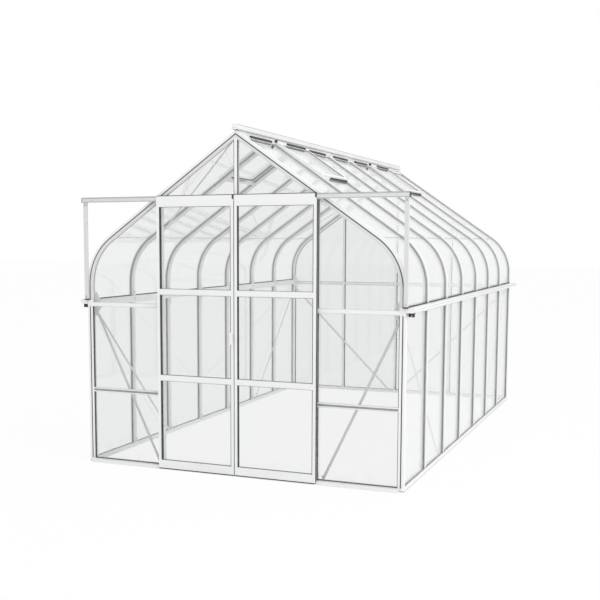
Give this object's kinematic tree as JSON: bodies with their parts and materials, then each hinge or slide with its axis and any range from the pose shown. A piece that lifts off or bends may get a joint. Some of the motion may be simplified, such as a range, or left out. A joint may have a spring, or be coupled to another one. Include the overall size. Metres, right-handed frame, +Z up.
{
  "type": "glass greenhouse with curved eaves and sliding doors",
  "caption": "Walk-in glass greenhouse with curved eaves, gutters, closed roof vents and a pair of sliding doors in the front gable.",
  "frame": {"origin": "on the ground, in the middle of the plan, under the ridge", "axes": "+Y from the door gable to the rear gable along the ridge, +Z up, +X to the right hand of someone facing the doors from outside"},
  "size_m": [2.664, 4.508, 2.5681],
  "materials": {
    "white_frame": "satin white powder coat",
    "glass": "clear horticultural glass",
    "black_plastic": "moulded black"
  },
  "bodies": {
    "greenhouse": {"base_sill_front": "white_frame", "base_sill_rear": "white_frame", "base_sill_left": "white_frame", "base_sill_right": "white_frame", "corner_posts": "white_frame", "side_bars_left": "white_frame", "side_bars_right": "white_frame", "curved_bars_left": "white_frame", "curved_bars_right": "white_frame", "roof_bars_left": "white_frame", "roof_bars_right": "white_frame", "gable_curves": "white_frame", "gable_rafters": "white_frame", "ridge_bar": "white_frame", "ridge_cap": "white_frame", "eave_beams": "white_frame", "gutter_left": "white_frame", "gutter_right": "white_frame", "gutter_outlets": "black_plastic", "side_glass_left": "glass", "side_glass_right": "glass", "eave_glass_left": "glass", "eave_glass_right": "glass", "roof_glass_left": "glass", "roof_glass_right": "glass", "roof_vents_left": "white_frame", "roof_vents_right": "white_frame", "vent_glass_left": "glass", "vent_glass_right": "glass", "vent_sills": "white_frame", "door_jamb_left": "white_frame", "door_jamb_right": "white_frame", "door_header": "white_frame", "gable_mullion": "white_frame", "front_rails_left": "white_frame", "front_rails_right": "white_frame", "front_glass_left": "glass", "front_glass_right": "glass", "front_glass_top": "glass", "rear_mullions": "white_frame", "rear_rails": "white_frame", "rear_glass": "glass", "gusset_plates": "white_frame", "gable_braces": "white_frame", "side_braces": "white_frame", "roof_braces": "white_frame", "door_track": "white_frame", "track_support_left": "white_frame", "track_support_right": "white_frame", "door_guide": "white_frame"},
    "left_door": {"left_door_frame": "white_frame", "left_door_glass": "glass", "left_door_rollers": "black_plastic", "left_door_handle": "white_frame"},
    "right_door": {"right_door_frame": "white_frame", "right_door_glass": "glass", "right_door_rollers": "black_plastic"}
  },
  "joints": [
    {"name": "left_door_slide", "type": "slide", "parent": "greenhouse", "child": "left_door", "axis": [-1, 0, 0], "range_m": [0, 0.6]},
    {"name": "right_door_slide", "type": "slide", "parent": "greenhouse", "child": "right_door", "axis": [1, 0, 0], "range_m": [0, 0.6]}
  ]
}
